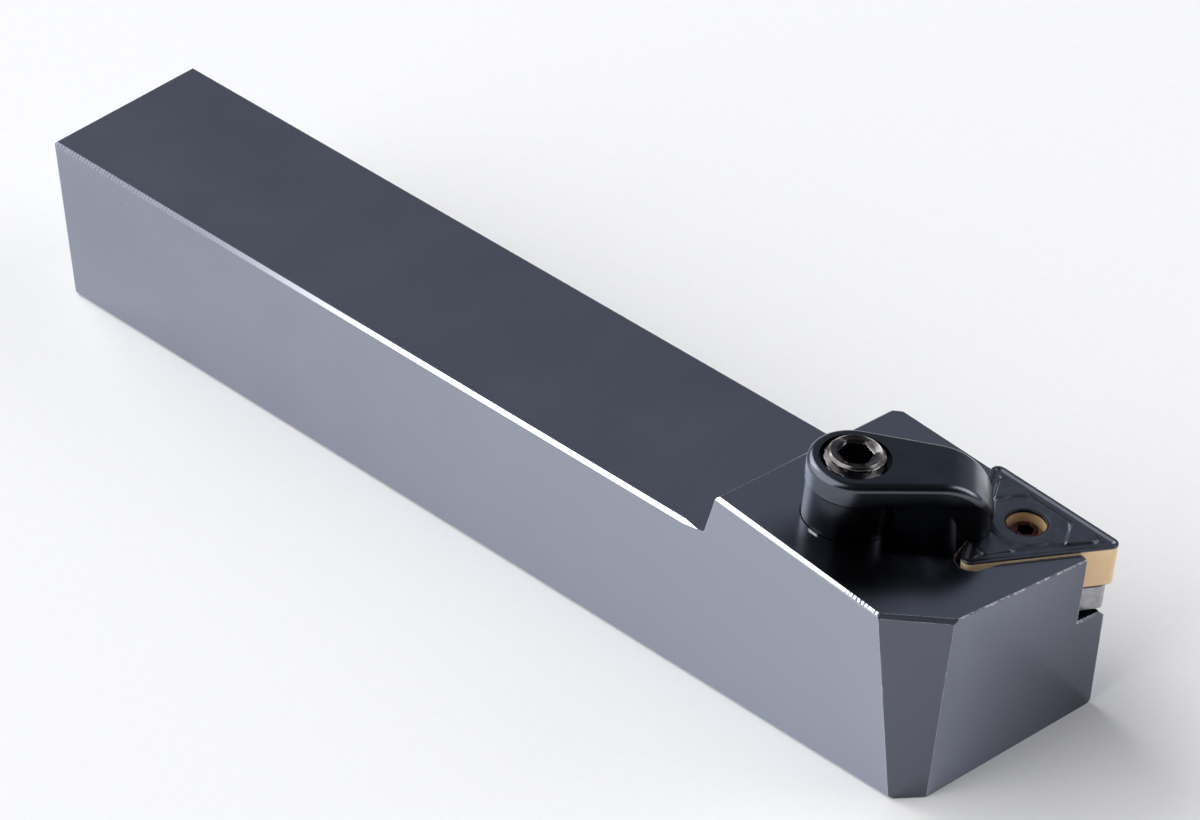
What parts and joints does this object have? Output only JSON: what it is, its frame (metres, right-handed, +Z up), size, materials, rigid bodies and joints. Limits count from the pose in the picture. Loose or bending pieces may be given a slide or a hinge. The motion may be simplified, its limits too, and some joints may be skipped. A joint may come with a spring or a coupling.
{
  "type": "indexable turning tool holder",
  "caption": "Right-hand square-shank turning tool holder with a clamped triangular carbide insert on a seat with lock pin, and a finger clamp with its screw.",
  "frame": {"origin": "middle of the straight shank's length, on its bottom face and its centre plane", "axes": "+X along the shank towards the cutting tip, +Y towards the cutting side, +Z up"},
  "size_m": [0.127, 0.0254, 0.03],
  "materials": {
    "holder_steel": "satin dark nickel or blackened steel, edges rubbed bright",
    "clamp_steel": "glossy black-oxidised steel",
    "screw_steel": "gunmetal-coloured hardened steel",
    "pin_steel": "brown-black hardened steel",
    "insert_coating": "black coated carbide faces with gold-coloured flanks",
    "shim_carbide": "ground grey carbide"
  },
  "bodies": {
    "holder": {"holder_body": "holder_steel", "shim": "shim_carbide", "lock_pin": "pin_steel", "insert": "insert_coating"},
    "clamp": {"clamp": "clamp_steel"},
    "screw": {"clamp_screw": "screw_steel"}
  },
  "joints": [
    {"name": "clamp_lift", "type": "slide", "parent": "holder", "child": "clamp", "axis": [0.1212, 0.1038, 0.9872], "range_m": [0, 0.0025]},
    {"name": "clamp_screw_turn", "type": "hinge", "parent": "holder", "child": "screw", "pos_m": [0.05991, -0.00134, 0.02232], "axis": [0.1212, 0.1038, 0.9872], "range_deg": [0, 450]}
  ],
  "couplings": [
    {"joint": "clamp_screw_turn", "follows": "clamp_lift", "rad_per_m": 3141.6}
  ]
}
